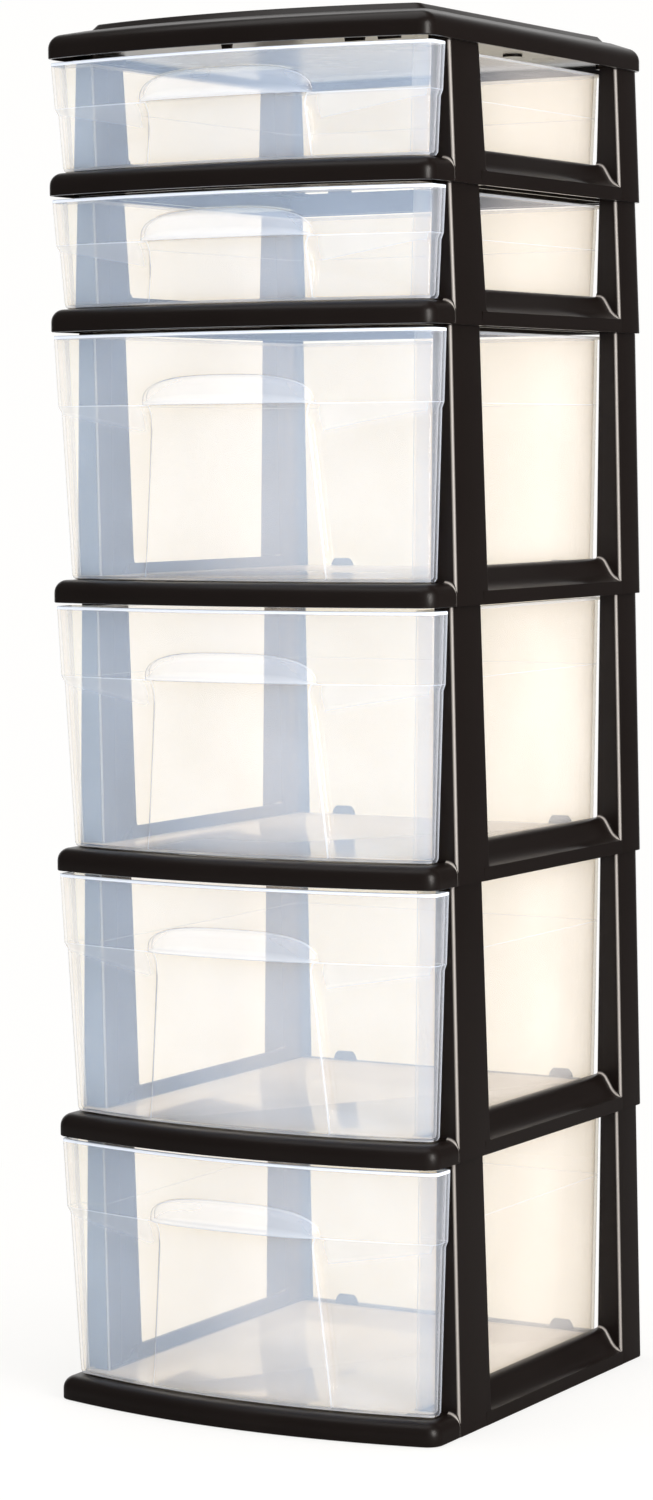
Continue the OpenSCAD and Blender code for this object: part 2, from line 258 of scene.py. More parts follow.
class Moulding:
    """Closed shells that are joined to one mesh."""

    def __init__(self):
        self.bm = bmesh.new()
        # Shares kept on the vertices: rim is a painted highlight, thin marks a face seen edge on that is kept clear,
        # floor is the milky floor colour, which is also laid on the back as a painted glow
        self.layers = {name: self.bm.verts.layers.float.new(name) for name in ("rim", "thin", "floor")}

    def skin(self, rows, around=False, ring=False, **shares):
        """Joins rows of points to a capped shell. around closes each row, ring joins the last row to the first."""
        bm = self.bm
        grid = [[bm.verts.new(p) for p in row] for row in rows]
        for name, share_of in shares.items():
            for i, row in enumerate(grid):
                for j, v in enumerate(row):
                    v[self.layers[name]] = share_of(i, j)
        n, m = len(grid), len(grid[0])
        for i in range(n if ring else n - 1):
            a, b = grid[i], grid[(i + 1) % n]
            for j in range(m if around else m - 1):
                k = (j + 1) % m
                bm.faces.new((a[j], a[k], b[k], b[j]))
        if around and not ring:
            bm.faces.new(grid[0][::-1])
            bm.faces.new(grid[-1])
        if ring and not around:
            bm.faces.new([row[0] for row in grid])
            bm.faces.new([row[-1] for row in reversed(grid)])

    def prism(self, points, low, high, axis="z", shrink=0.0):
        """A closed outline drawn out along an axis, with a small chamfer at both ends if shrink is given."""
        levels = [(points, low), (points, high)]
        if shrink:
            cx, cy = (sum(p[k] for p in points) / len(points) for k in (0, 1))
            part = shrink / max(max(abs(x - cx), abs(y - cy)) for x, y in points)
            small = [(mix(x, cx, part), mix(y, cy, part)) for x, y in points]
            levels = [(small, low), (points, low + shrink), (points, high - shrink), (small, high)]
        self.skin([[(x, h, y) if axis == "y" else (x, y, h) for x, y in outline] for outline, h in levels], around=True)

    def finish(self, name, material, body, node, sharp=38.0, bevel=0.0):
        """Makes the object, gives it its material and lets it stand for its node."""
        bm = self.bm
        bmesh.ops.remove_doubles(bm, verts=bm.verts, dist=1e-7)
        bmesh.ops.dissolve_degenerate(bm, edges=bm.edges, dist=1e-7)
        bmesh.ops.recalc_face_normals(bm, faces=bm.faces)
        limit = radians(sharp)
        for f in bm.faces:
            f.smooth = True
        for e in bm.edges:
            e.smooth = len(e.link_faces) == 2 and e.calc_face_angle(0) < limit
        mesh = bpy.data.meshes.new(name)
        bm.to_mesh(mesh)
        bm.free()
        mesh.materials.append(material)
        obj = add_object(name, mesh)
        if bevel:
            rounding = obj.modifiers.new("edge rounding", "BEVEL")
            rounding.width = bevel
            rounding.segments = 2
            rounding.limit_method = "ANGLE"
            rounding.angle_limit = limit
        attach(obj, body)
        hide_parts(node)


# ---------- shader nodes ----------


def fill(tree, node, sockets):
    """Sets or links input sockets of a node."""
    for socket, value in dict(sockets).items():
        if isinstance(value, bpy.types.NodeSocket):
            tree.links.new(value, node.inputs[socket])
        else:
            node.inputs[socket].default_value = value


def place(tree, kind, sockets=(), **settings):
    """A new node with its settings and its input sockets."""
    node = tree.nodes.new(kind)
    for name, value in settings.items():
        setattr(node, name, value)
    fill(tree, node, sockets)
    return node


def maths(tree, operation, *values):
    """The result of a sum on numbers."""
    return place(tree, "ShaderNodeMath", enumerate(values), operation=operation).outputs[0]


def dimmed(tree, colour, amount):
    """A colour times an amount."""
    return place(tree, "ShaderNodeVectorMath", {0: colour, "Scale": amount}, operation="SCALE").outputs[0]


def blended(tree, amount, first, second):
    """A colour between two others."""
    a, b = (c if isinstance(c, bpy.types.NodeSocket) else (*c, 1.0) for c in (first, second))
    return place(tree, "ShaderNodeMix", {0: amount, 6: a, 7: b}, data_type="RGBA").outputs[2]


def eased(tree, value, start, end, low, high):
    """A value that runs smoothly from low to high while another runs from start to end."""
    sockets = {"Value": value, "From Min": start, "From Max": end, "To Min": low, "To Max": high}
    return place(tree, "ShaderNodeMapRange", sockets, interpolation_type="SMOOTHSTEP").outputs["Result"]


def painted(tree, layer):
    """The share that a mesh stores in one of its layers."""
    return place(tree, "ShaderNodeAttribute", attribute_name=layer).outputs["Fac"]


def direction(tree, axis):
    """How far the surface faces along an axis."""
    shape = tree.nodes.new("ShaderNodeNewGeometry")
    return place(tree, "ShaderNodeSeparateXYZ", {0: shape.outputs["Normal"]}).outputs[axis]


def raised(tree, height, strength, distance):
    """The normal of a surface with a fine relief."""
    sockets = {"Height": height, "Strength": strength, "Distance": distance}
    return place(tree, "ShaderNodeBump", sockets).outputs["Normal"]


def new_material(name):
    """A material with nodes, its tree and its Principled BSDF."""
    material = bpy.data.materials.new(name)
    material.use_nodes = True
    return material, material.node_tree, material.node_tree.nodes["Principled BSDF"]


# ---------- materials ----------


def grain_group():
    """Moulded grain: a fine height and a slow drift of tone."""
    name = "Moulded Grain"
    if name in bpy.data.node_groups:
        return bpy.data.node_groups[name]
    g = bpy.data.node_groups.new(name, "ShaderNodeTree")
    for label, default in (("Grain Scale", 900.0), ("Drift Scale", 9.0), ("Drift Amount", 0.3)):
        socket = g.interface.new_socket(label, in_out="INPUT", socket_type="NodeSocketFloat")
        socket.default_value = default
    for label in ("Height", "Drift"):
        g.interface.new_socket(label, in_out="OUTPUT", socket_type="NodeSocketFloat")
    given = g.nodes.new("NodeGroupInput").outputs
    spot = g.nodes.new("ShaderNodeTexCoord").outputs["Object"]
    fine = place(g, "ShaderNodeTexNoise", {"Vector": spot, "Scale": given["Grain Scale"], "Detail": 2.0})
    slow = place(g, "ShaderNodeTexNoise", {"Vector": spot, "Scale": given["Drift Scale"], "Detail": 3.0})
    centred = maths(g, "SUBTRACT", slow.outputs["Fac"], 0.5)
    drift = maths(g, "MULTIPLY_ADD", centred, given["Drift Amount"], 1.0)
    place(g, "NodeGroupOutput", {"Height": fine.outputs["Fac"], "Drift": drift})
    return g


def add_grain(tree, grain_scale, drift_scale, drift_amount):
    """The outputs of the moulded grain, placed with a material's own values."""
    sockets = {"Grain Scale": grain_scale, "Drift Scale": drift_scale, "Drift Amount": drift_amount}
    return place(tree, "ShaderNodeGroup", sockets, node_tree=grain_group()).outputs


def frame_plastic():
    """Dark plastic with a soft sheen, a fine moulded grain, a painted highlight on the post edges and fillets, and
    glossy undersides.
    """
    name = "frame plastic"
    if name in bpy.data.materials:
        return bpy.data.materials[name]
    look = bpy.context.scene.tower_finishes
    material, t, plastic = new_material(name)
    grain = add_grain(t, 1400.0, 11.0, 0.5)
    plain = dimmed(t, tuple(look.frame_colour), grain["Drift"])
    under = maths(t, "LESS_THAN", direction(t, "Z"), -0.85)
    satin = maths(t, "MULTIPLY_ADD", under, -0.05, look.frame_roughness)
    relief = maths(t, "MULTIPLY", grain["Height"], maths(t, "SUBTRACT", 1.0, under))
    # The rim layer turns the base colour into a painted highlight along the post edges and fillets
    fill(t, plastic, {
        "Base Color": blended(t, painted(t, "rim"), plain, look.painted_edge_highlight_colour),
        "Roughness": maths(t, "MULTIPLY", grain["Drift"], satin),
        "Normal": raised(t, relief, 0.12, 0.0004),
        "Specular IOR Level": 0.3,
        "Coat Weight": under,
        "Coat Roughness": 0.3,
        "Coat IOR": 1.9,
    })
    return material


def clear_plastic():
    """Clear plastic that passes a warm light, scatters a blue haze and has a painted highlight on its rims, edges,
    crease and handle.
    """
    name = "clear plastic"
    if name in bpy.data.materials:
        return bpy.data.materials[name]
    look = bpy.context.scene.tower_finishes
    material, t, hazy = new_material(name)
    grain = add_grain(t, 260.0, 14.0, 0.35)
    across = direction(t, "X")
    side = maths(t, "MULTIPLY", across, across)
    # The floor layer also lays the floor's milky colour on the back of the tub as a painted glow of light from behind
    floor, thin, rim = (painted(t, layer) for layer in ("floor", "thin", "rim"))

    def by_face(front, sides, low, edge_on):
        """A colour that differs between the front, the sides, the floor and what is seen edge on."""
        return blended(t, thin, blended(t, floor, blended(t, side, front, sides), low), (edge_on,) * 3)

    haze = by_face(look.haze_colour, look.side_haze_colour, look.floor_haze_colour, 0.01)
    haze = dimmed(t, haze, grain["Drift"])
    # Where the rim layer is set, the haze turns to the painted highlight colour
    fill(t, hazy, {"Base Color": blended(t, rim, haze, look.rim_highlight_colour), "Roughness": 0.5,
                   "Specular IOR Level": 0.0})

    clear = by_face(look.clear_colour, look.side_clear_colour, look.floor_clear_colour, 0.98)
    # The painted highlight also lets almost no light through
    clear = blended(t, rim, clear, (0.02, 0.02, 0.02))
    through = place(t, "ShaderNodeBsdfTransparent", {"Color": clear})
    wall = place(t, "ShaderNodeAddShader", {0: through.outputs[0], 1: hazy.outputs[0]})

    # The floor lets more through where it is looked at squarely
    facing = place(t, "ShaderNodeLayerWeight", {"Blend": 0.5}).outputs["Facing"]
    square = maths(t, "MULTIPLY", maths(t, "SUBTRACT", facing, 1.0), floor)
    open_floor = place(t, "ShaderNodeBsdfTransparent", {"Color": (0.93, 0.91, 0.87, 1.0)})
    body = place(t, "ShaderNodeMixShader", {
        0: maths(t, "MULTIPLY", square, -1.1), 1: wall.outputs[0], 2: open_floor.outputs[0]})

    shine = place(t, "ShaderNodeBsdfGlossy", {"Roughness": 0.07, "Normal": raised(t, grain["Height"], 0.03, 0.0006)})
    mirror = maths(t, "MULTIPLY_ADD", maths(t, "POWER", facing, 5.0), 0.9, 0.01)
    gloss = place(t, "ShaderNodeMixShader", {0: mirror, 1: body.outputs[0], 2: shine.outputs[0]})
    t.links.new(gloss.outputs[0], t.nodes["Material Output"].inputs["Surface"])
    return material


# ---------- frame layers ----------


# A stacking peg, and its play in the slot above
PEG_HALF_WIDTH = 0.003
PEG_HALF_LENGTH = 0.012
PEG_PLAY = 0.0004

# Rounding of the posts' front edges, and of the back edges of the front posts
POST_FRONT_ROUND = 0.003
POST_BACK_ROUND = 0.0012

# Radius of the humps that stop the drawers
STOP_RADIUS = 0.010

# Angle at which the hollow of the side rails leaves their foot
FLARE_START = 15

# Painted highlight on the points across the front edge of a post and across a fillet
POST_EDGE_HIGHLIGHT = (0.0, 0.0, 0.0, 0.5, 1.0, 0.5, 0.0, 0.0)
COVE_HIGHLIGHT = (0.0, 0.0, 0.2, 1.0, 0.6, 0.0, 0.0)


def front_rail_section():
    """Section of the front rail as inset and height, from its outer foot round to its inner foot."""
    s = bpy.context.scene.tower_frame
    w, h, r, t = s.rail_width, s.rail_height, s.rail_round, s.wall
    foot, edge = 0.0007, 0.0015
    outer = [(foot, 0), (foot * 0.3, foot * 0.3), (0, foot)] + arc(r, h - r, r, 180, 90, 8)
    inner_edge = arc(w - edge, h - edge, edge, 90, 0, 3)
    channel = [(w, 0), (w - t, 0), (w - t, h - t)] + arc(r, h - r, r - t, 90, 180, 5) + [(t, 0)]
    return outer + inner_edge + channel


def side_rail_curve():
    """The visible face of a side rail as distance in and height, from its foot to its inner edge."""
    s = bpy.context.scene.tower_frame
    start = radians(FLARE_START)
    fx, fz = -s.flare * sin(start), s.side_foot + s.flare * cos(start)
    sx, sz = s.rail_width - s.shoulder_flat, s.side_height - s.shoulder
    dx, dz = sx - fx, sz - fz
    slope = degrees(atan2(dz, dx) + asin((s.flare + s.shoulder) / hypot(dx, dz)))
    return (arc(fx, fz, s.flare, 270 + FLARE_START, 270 + slope, 10) + arc(sx, sz, s.shoulder, 90 + slope, 90, 8),
            (fx, fz, sx, sz, slope))


def side_rail_section():
    """Closed section of a side rail."""
    s = bpy.context.scene.tower_frame
    curve, (fx, fz, sx, sz, slope) = side_rail_curve()
    t = s.wall
    flare_in, shoulder_in = s.flare + t, s.shoulder - t
    foot_in = 270 + degrees(asin((t - fx) / flare_in))
    top_in = degrees(acos((s.shoulder_flat - t) / shoulder_in))
    return ([(0, 0)] + curve + [(s.rail_width, s.side_height), (s.rail_width, 0), (s.rail_width - t, 0)]
            + arc(sx, sz, shoulder_in, top_in, 90 + slope, 6) + arc(fx, fz, flare_in, 270 + slope, foot_in, 8)
            + [(t, 0)])


def cove(mould, curve, stop_y, facing, side, z, r):
    """Concave fillet where a rail, whose section is curve, runs into the flank of a post at stop_y."""
    sunk, start, steps = 0.0004, 0.003, 5
    rows = []
    for i, (x, h) in enumerate(curve):
        a, b = curve[max(i - 1, 0)], curve[min(i + 1, len(curve) - 1)]
        nx, nz = -(b[1] - a[1]), b[0] - a[0]
        size = hypot(nx, nz)
        nx, nz = nx / size, nz / size
        row = [(x - nx * sunk, stop_y - facing * sunk, h - nz * sunk)]
        reach = r * min(1.0, max(x - 0.0002, 0.0001) / start)
        for k in range(steps + 1):
            turn = radians(90 * k / steps)
            out = reach * (1 - cos(turn))
            along = reach * (1 - sin(turn))
            row.append((x + nx * out, stop_y + facing * along, h + nz * out))
        rows.append([(side * (SIDE_X - px), py, z + pz) for px, py, pz in row])
    # The middle of the fillet carries a painted highlight
    mould.skin(rows, around=True, rim=lambda i, j: COVE_HIGHLIGHT[j])


def post_section(side, z, h, base, y0, y1, back_r):
    """Outline of a post at height z of h, open towards the drawers, and its solid outline."""
    s = bpy.context.scene.tower_frame
    t, k, r = s.wall, z / h, POST_FRONT_ROUND
    xo = SIDE_X - s.lean * k
    xi = mix(SIDE_X - s.rail_width, SIDE_X - s.lean - s.post_width, k)
    inner_r = max(back_r - t, 0.0006)
    solid = ([(xi, y0)] + arc(xo - r, y0 + r, r, -90, 0, 6) + arc(xo - back_r, y1 - back_r, back_r, 0, 90, 8)
             + [(xi, y1)])
    channel = (solid + [(xi, y1 - t)] + arc(xo - t - inner_r, y1 - t - inner_r, inner_r, 90, 0, 6)
               + arc(xo - t - 0.001, y0 + t + 0.001, 0.001, 0, -90, 3) + [(xi, y0 + t)])
    return [[(side * x, y, base + z) for x, y in outline] for outline in (channel, solid)]


def add_post(mould, side, base, h, y0, y1_foot, y1_top, back_r):
    """A post as a channel with a foot plate, a cap and a peg."""
    s = bpy.context.scene.tower_frame
    t = s.wall
    mid = (y0 + y1_top) / 2

    def outlines(z):
        return post_section(side, z, h, base, y0, mix(y1_foot, y1_top, z / h), back_r)

    rows = [outlines(z)[0] for z in (0.0002, h * 0.5, h - 0.0006)]
    # The front edge of the post carries a painted highlight
    mould.skin(rows, around=True, rim=lambda i, j: POST_EDGE_HIGHLIGHT[j] if j < len(POST_EDGE_HIGHLIGHT) else 0.0)
    cx = side * (SIDE_X - s.rail_width / 2)
    for levels in ((0.0, t), (h - t, h)):
        mould.skin([[(mix(x, cx, 0.02), mix(y, mid, 0.008), z) for x, y, z in outlines(level)[1]] for level in levels],
                   around=True)
    px = side * (SIDE_X - s.lean - s.post_width / 2)
    peg = rectangle(px - PEG_HALF_WIDTH, mid - PEG_HALF_LENGTH, px + PEG_HALF_WIDTH, mid + PEG_HALF_LENGTH)
    mould.prism(peg, base + h - t, base + h + s.peg_height, shrink=0.0008)


def build_layer(name):
    """One frame layer: ring, posts, runners, stops and pegs."""
    s = bpy.context.scene.tower_frame
    low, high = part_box("frame_" + name)
    base = low.z
    h = high.z - base - s.peg_height
    t = s.wall
    corner_y = FRONT_Y + s.bow
    post_y = corner_y + s.setback
    back_post_y = BACK_Y - s.back_depth
    y_in, y_out = BACK_Y - s.rail_width, BACK_Y
    mould = Moulding()

    section = front_rail_section()
    rows = [[(x, y, base + z) for x, y in front_path(inset, post_y + t)] for inset, z in section]
    mould.skin(rows, ring=True)

    rail = side_rail_section()
    curve, _ = side_rail_curve()
    full_curve = curve + [(s.rail_width - 0.0005, s.side_height)]
    front_curve = section[2:12]
    post_end = post_y + s.front_depth
    for side in (1, -1):
        rows = [[(side * (SIDE_X - x), y, base + z) for x, z in rail] for y in (post_end - t, back_post_y + t)]
        mould.skin(rows, around=True)
        for section_curve, stop_y, facing in ((full_curve, back_post_y, -1),
                                              (full_curve, post_end + s.front_flare * 0.93, 1),
                                              (front_curve, post_y, -1)):
            cove(mould, section_curve, stop_y, facing, side, base, s.fillet)
        add_post(mould, side, base, h, post_y, post_end + s.front_flare, post_end, POST_BACK_ROUND)
        add_post(mould, side, base, h, back_post_y, BACK_Y, BACK_Y, s.corner)
        x0 = SIDE_X - s.rail_width - s.runner_width
        x1 = SIDE_X - s.rail_width + t
        top = base + s.rail_height
        mould.prism(rectangle(side * x0, top - s.runner_height, side * x1, top), corner_y + s.rail_width - t,
                    y_in + t, axis="y")
        stop_x = side * s.stop_out
        hump = arc(stop_x, top, STOP_RADIUS, 0, 53, 6) + arc(stop_x, top, STOP_RADIUS, 127, 180, 6)
        hump += [(stop_x - STOP_RADIUS, top - t), (stop_x + STOP_RADIUS, top - t)]
        hump = [(x, min(z, top + s.stop_height)) for x, z in hump]
        mould.prism(hump, y_in + 0.0001, y_in + t - 0.0001, axis="y", shrink=0.0005)

    r, edge = s.rail_round, 0.0012
    back = ([(y_in, 0)] + arc(y_in + edge, s.rail_height - edge, edge, 180, 90, 3)
            + arc(y_out - r, s.rail_height - r, r, 90, 0, 8) + [(y_out, 0), (y_out - t, 0)]
            + arc(y_out - r, s.rail_height - r, r - t, 0, 90, 6) + [(y_in + t, s.rail_height - t), (y_in + t, 0)])
    half = SIDE_X - s.rail_width + t
    mould.skin([[(x, y, base + z) for y, z in back] for x in (-half, half)], around=True)
    mould.finish("layer_" + name, frame_plastic(), "tower", "frame_" + name, bevel=0.0004)


# ---------- lid ----------


# Ends of the tabs that hang from the lid's underside behind its front rim, from the left
LID_TABS = ((-0.0158, -0.0086), (0.0813, 0.0960), (0.1068, 0.1237))

# Place, radius and depth of the round boss under the lid
LID_GATE = (0.1075, 0.054)
GATE_RADIUS, GATE_DEPTH = 0.007, 0.0016

# Width of the seats under the lid's corners, and the cut at the outer corner of the back ones
SEAT_WIDTH, SEAT_CUT_X, SEAT_CUT_Y = 0.0185, 0.010, 0.012


def build_lid():
    """The lid with its rounded rim, crowned top, raised panel and the seats under its corners."""
    s, l = bpy.context.scene.tower_frame, bpy.context.scene.tower_lid
    base = LID_LOW.z
    corner_y = FRONT_Y + s.bow

    def ring(inset, z):
        r = max(s.corner - inset, 0.002)
        return [(x, y, base + z) for x, y in
                closed_plan(SIDE_X - inset, corner_y + inset, BACK_Y - inset, s.bow, r, r)]

    def panel(inset, z):
        r = l.panel_corner - max(inset, 0)
        return [(x, y, base + z) for x, y in
                closed_plan(SIDE_X - l.side - inset, corner_y + l.inset + inset, BACK_Y - l.back - inset, s.bow, r, r)]

    def turned(inset, z, r, angles):
        """Rows of the rim round an edge of radius r."""
        turns = [radians(a) for a in angles]
        return [ring(inset + r * (1 - cos(a)), z + r * sin(a)) for a in turns]

    t, r = s.wall, l.round
    top = l.rim + l.crown
    rows = [panel(l.slope + 0.0012, top + l.rise), panel(l.slope + 0.0003, top + l.rise - 0.0002),
            panel(l.slope - 0.0005, top + l.rise - 0.0009), panel(0.0006, top + 0.0006 - l.groove),
            panel(0.0, top - l.groove), panel(-0.0008, top - l.groove), panel(-0.0014, top - 0.0001),
            panel(-0.004, top - 0.0006)]
    rows += turned(0, l.rim - r, r, (78, 68, 58, 48, 38, 28, 18, 9, 0))
    rows += [ring(0, 0.0006), ring(0.0006, 0), ring(t, 0)]
    rows += turned(t, l.under - 0.002, 0.002, (0, 30, 60, 90))
    mould = Moulding()
    mould.skin(rows, around=True)
    under = base + l.under
    for x0, x1 in LID_TABS:
        tab = [(x0, base + 0.0002), (x1, base + 0.0002), (x1 + 0.001, under + 0.0005), (x0 - 0.001, under + 0.0005)]
        mould.prism(tab, corner_y + l.tab_inset, corner_y + l.tab_inset + t, axis="y")
    gate_x, gate_y = LID_GATE
    mould.prism(arc(gate_x, gate_y, GATE_RADIUS, 0, 345, 23), under - GATE_DEPTH, under + 0.0005)

    inner_x = SIDE_X - s.rail_width
    peg_x = SIDE_X - s.lean - s.post_width / 2
    slot_x, slot_y = PEG_HALF_WIDTH + PEG_PLAY, PEG_HALF_LENGTH + PEG_PLAY
    seat_x = inner_x + SEAT_WIDTH
    for side in (1, -1):
        for y0, y1 in ((corner_y + s.setback, corner_y + s.setback + s.front_depth), (BACK_Y - s.back_depth, BACK_Y)):
            mid, end = (y0 + y1) / 2, min(y1, BACK_Y - t / 2)
            hole = rectangle(peg_x - slot_x, mid - slot_y, peg_x + slot_x, mid + slot_y)
            edge = rectangle(inner_x, y0, seat_x, end)
            if y1 == BACK_Y:
                hole.append(hole[-1])
                edge[2:3] = [(seat_x, end - SEAT_CUT_Y), (seat_x - SEAT_CUT_X, end)]
            loops = [[(side * x, y, base + z) for x, y in outline] for outline, z in
                     ((hole, 0.0), (edge, 0.0), (edge, t), (hole, t))]
            mould.skin(loops, around=True, ring=True)
            rib = rectangle(side * inner_x, y0, side * (inner_x + t), min(y1, BACK_Y - s.corner))
            mould.prism(rib, base + 0.0003, under + 0.0006)
    mould.finish("lid_moulding", frame_plastic(), "tower", "lid", bevel=0.0004)


# ---------- drawers ----------


# Steps from the pad's face round its rounded edge to the side panel: shares in x and in depth
FLANK = ((0.0, 0.0), (0.2, 0.04), (0.38, 0.14), (0.56, 0.46), (0.72, 0.84), (0.85, 0.97), (1.0, 1.0))

# Rows of a drawer's face from its foot up: kind and share beside the handle, kind and share within it
FACE_ROWS = (
    [("foot", 0.0, "pad", 0)]
    + [("kick", k, "pad", 0) for k in (0.35, 0.7, 0.95)]
    + [("panel", k, "pad", 0) for k in (0.0, 0.06, 0.3, 0.6, 0.94)]
    + [("ledge", k, "pad", 0) for k in (1.0, 0.95, 0.7, 0.4, 0.2)]
    + [("ledge", 0.06, "fillet", 0.5), ("ledge", 0.0, "fillet", 1.0)]
    + [("up", 0.0003, "under", 0.5), ("up", 0.0006, "under", 1.0), ("up", 0.0009, "face", 0.0),
       ("up", 0.0012, "face", 0.5)]
    + [("up", 0.0015 + 0.0003 * k, "round", 0.2 * k) for k in range(6)]
    + [("up", 0.0034, "shelf", 0.0), ("up", 0.0038, "shelf", 0.5), ("up", 0.0042, "shelf", 1.0)]
)

# Painted highlight on the rows of the handle from the crease up, and on the columns across the edge of the pad
HANDLE_HIGHLIGHT = (0.10, 0.10, 0.3, 0.3, 0.10, 0.09, 0.09, 0.09, 0.10, 0.3, 0.35, 0.12, 0.03, 0.0)
PAD_HIGHLIGHT = (0.3, 0.04, 0.0)


class DrawerForm:
    """Outer or inner face of a drawer as rows of points that share their columns."""

    INSIDE = 24  # columns over half of the handle and the pad under it
    OUTSIDE = 10  # columns from the pad to the corner
    TOP_GAP = 0.0025  # from the drawer's top to the ring above
    RUNNER_PLAY = 0.0003  # from the drawer's foot to the runners
    RETURN_GAP = 0.009  # from the back of the front to the posts
    TUB_GAP = 0.005  # from the back of the tub to the back rail
    BACK_ROUND = 0.006  # rounding of the tub's back corners
    FULL_SPAN = 0.12  # height below the crease over which the pad splays in full
    LEDGE_X = 0.069  # where the ledges start beside the pad
    LEDGE_RUN = 0.073  # how far they slope
    PANEL_END = 0.141  # where the side panels meet the bow
    PAD_EDGE = 0.0016  # from the pad's last column to its edge
    PAD_FLANK = 0.0036  # width of the pad's rounded flank
    HANDLE_FLANK = 0.0026  # width of the rounded ends of the handle
    OVAL = 2 / 2.8  # how square the arch of the handle is

    def __init__(self, base, h, small, inset):
        s, f = bpy.context.scene.tower_drawer, bpy.context.scene.tower_frame
        self.s, self.f, self.i = s, f, inset
        self.top = base + h - self.TOP_GAP
        self.low = base + f.rail_height + self.RUNNER_PLAY
        self.foot = self.low + inset
        self.crease = self.top - (s.crease_small if small else s.crease_large)
        self.span = self.crease - self.low
        self.fall = (s.taper_small if small else s.taper_large) / (self.top - self.low)
        self.corner_y = FRONT_Y + f.bow + s.set_back
        self.return_y = FRONT_Y + f.bow + f.setback - self.RETURN_GAP
        self.a = s.handle_half - inset
        self.b = s.handle_height - inset
        self.splay = s.pad_splay * min(1.0, self.span / self.FULL_SPAN)
        bow = self.bow_at(self.top)
        pad = s.pad_half
        self.flat = (bow.y(self.PANEL_END) - bow.y(pad) - s.panel_depth) / (self.PANEL_END - pad)
        turns = [radians(90 - 88.5 * k / (self.INSIDE - 1)) for k in range(self.INSIDE)]
        wide = [self.a * max(cos(turn), 0.0) ** self.OVAL for turn in turns]
        self.xs = [0.0] + [x / wide[-1] * self.a for x in wide[1:]]
        self.rises = [self.b * sin(turn) ** self.OVAL for turn in turns]

    def bow_at(self, z, step=0.0):
        """The bowed outline at height z, moved in by step."""
        move = self.fall * (self.top - z) + step + self.i
        return Bow(self.s.half_top - move, self.corner_y + move, self.f.bow, max(self.s.corner - self.i, 0.002))

    def outline(self, z):
        """The outline of the corners at height z: it steps in below the crease."""
        below = (self.crease - z) / self.drop(self.PANEL_END)
        return self.bow_at(z, self.s.crease_step * min(max(below, 0.0), 1.0))

    def ledge(self, x, middle, corner):
        """Height of a ledge at x, which slopes from the pad to the corner."""
        return mix(middle, corner, min(max((x - self.LEDGE_X) / self.LEDGE_RUN, -0.2), 1.0))

    def drop(self, x):
        """Height of the upper ledge below the crease at x."""
        return self.ledge(x, 0.0170, 0.0040)

    def lift(self, x):
        """Height of the lower ledge above the foot at x."""
        return self.ledge(x, 0.0205, 0.0062)

    def pad_x(self, z):
        """Half the width of the pad at height z: its top runs out into the ends of the handle."""
        below = max(self.crease - z, 0.0)
        curl = max(0.0, 1 - below / 0.010)
        return self.s.pad_half - 0.004 + self.splay * below / self.span + 0.0035 * curl * curl + self.i

    def pad_y(self, x, z):
        """Face of the pad: flush with the front at the crease, a little behind it further down."""
        return self.bow_at(z, self.s.crease_step * min(max((self.crease - z) / 0.03, 0.0), 1.0)).y(x)

    def panel_y(self, x, z):
        """Nearly flat side panel, which meets the bow of the front at the corner."""
        bow = self.bow_at(z, self.s.crease_step)
        pad = self.s.pad_half
        return max(bow.y(x), bow.y(pad) + self.s.panel_depth + self.flat * (x - pad))

    def beside(self, kind, k, x):
        """Place and height of a row beside the pad and the handle."""
        crease, low = self.crease, self.low
        if kind == "up":
            return self.bow_at(crease + k).y(x), crease + k
        upper, lower = crease - self.drop(x), low + self.lift(x)
        if kind == "panel":
            z = mix(lower, upper, k)
            return self.panel_y(x, z), z
        if kind == "ledge":
            return mix(self.bow_at(crease).y(x), self.panel_y(x, upper), k), crease - self.drop(x) * k
        start = low + 0.003
        return mix(self.bow_at(start, self.s.crease_step).y(x), self.panel_y(x, lower), k), mix(start, lower, k)

    def handle_y(self, x):
        """Front of the handle, which curves back to the face at its ends."""
        rest = max(0.0, 1 - (min(x / self.a, 1.0)) ** 6) ** 0.45
        return self.bow_at(self.crease).y(x) - self.s.handle_out * rest

    def within(self, kind, k, inner, q, x0, rise):
        """A point of a row within the pad and the handle."""
        crease, ceiling = self.crease, self.crease + self.i
        scale = x0 / self.a
        turn = radians(90 * q)
        if inner in ("pad", "fillet"):
            _, z = self.beside(kind, k, self.LEDGE_X)
            if kind == "ledge":
                z = mix(ceiling, crease - self.drop(self.LEDGE_X), k)
            x = scale * (self.pad_x(z) - self.PAD_EDGE)
            y = self.pad_y(x, z)
            if inner == "fillet":
                r = 0.0030 if self.i < 0.001 else 0.0010
                reach = min(r, max(y - self.handle_y(scale * self.a), 0.0) * 0.8)
                y = y - reach * (1 - cos(turn))
                z = ceiling - r * (1 - sin(turn))
            return x, y, z
        if inner == "under":
            x = mix(scale * (self.pad_x(crease) - self.PAD_EDGE), x0, q)
            return x, mix(self.pad_y(x, ceiling), self.handle_y(x0) + 0.0006, 0.35 + 0.65 * q), ceiling
        face = self.handle_y(x0)
        height = max(rise, 0.0012)
        top_z = ceiling + height
        r_z = min(0.006, height * 0.6)
        r_y = min(0.0065, max(self.bow_at(top_z).y(x0) - face, 0.0) * 0.75)
        if inner == "face":
            return x0, face, mix(ceiling + min(0.0006, height * 0.2), top_z - r_z, q)
        if inner == "round":
            return x0, face + r_y * (1 - cos(turn)), top_z - r_z + r_z * sin(turn)
        small = min(0.0015, height * 0.4)
        z = top_z + small * (1 - cos(turn))
        y = self.bow_at(z).y(x0)
        return x0, y - min(small, y - face) * (1 - sin(turn)), z

